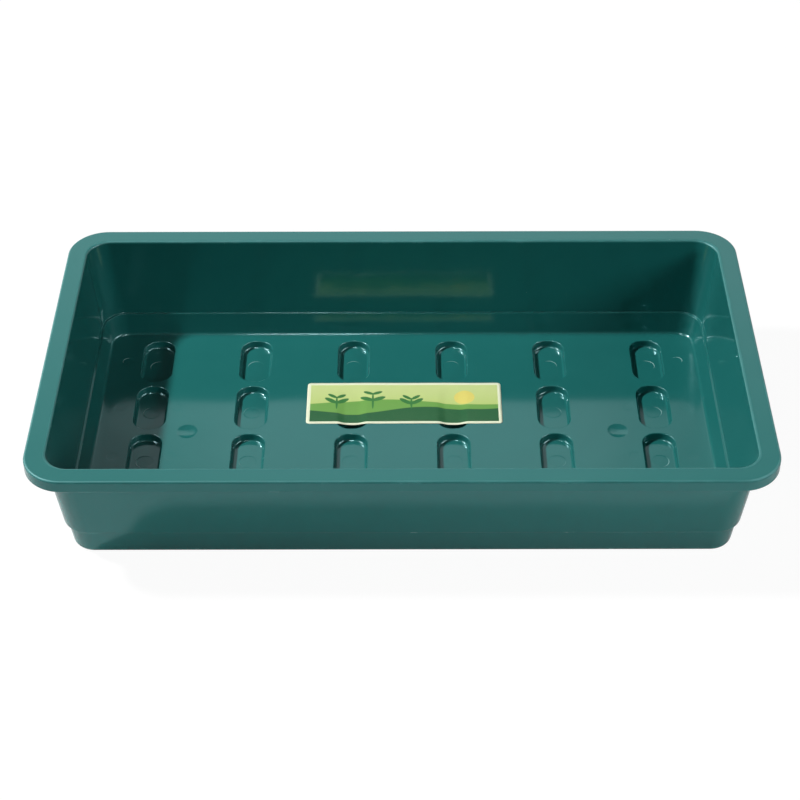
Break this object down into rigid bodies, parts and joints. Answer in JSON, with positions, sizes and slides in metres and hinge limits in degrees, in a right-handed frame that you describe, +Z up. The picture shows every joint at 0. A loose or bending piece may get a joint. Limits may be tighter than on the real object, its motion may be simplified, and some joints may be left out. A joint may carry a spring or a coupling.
{
  "type": "seed propagator tray",
  "caption": "Open rectangular base tray with a turned-down rim, sloping sides, sunk pockets in the floor that double as feet, and a flat label.",
  "frame": {"origin": "middle of the tray's footprint, on the surface that it stands on", "axes": "+X along the long side, +Z up out of the open top, -Y to the front"},
  "size_m": [0.56, 0.32, 0.095],
  "materials": {
    "green_polypropylene": "glossy",
    "coated_paper": "satin"
  },
  "bodies": {
    "root": {"tray": "green_polypropylene", "label": "coated_paper"}
  },
  "joints": []
}
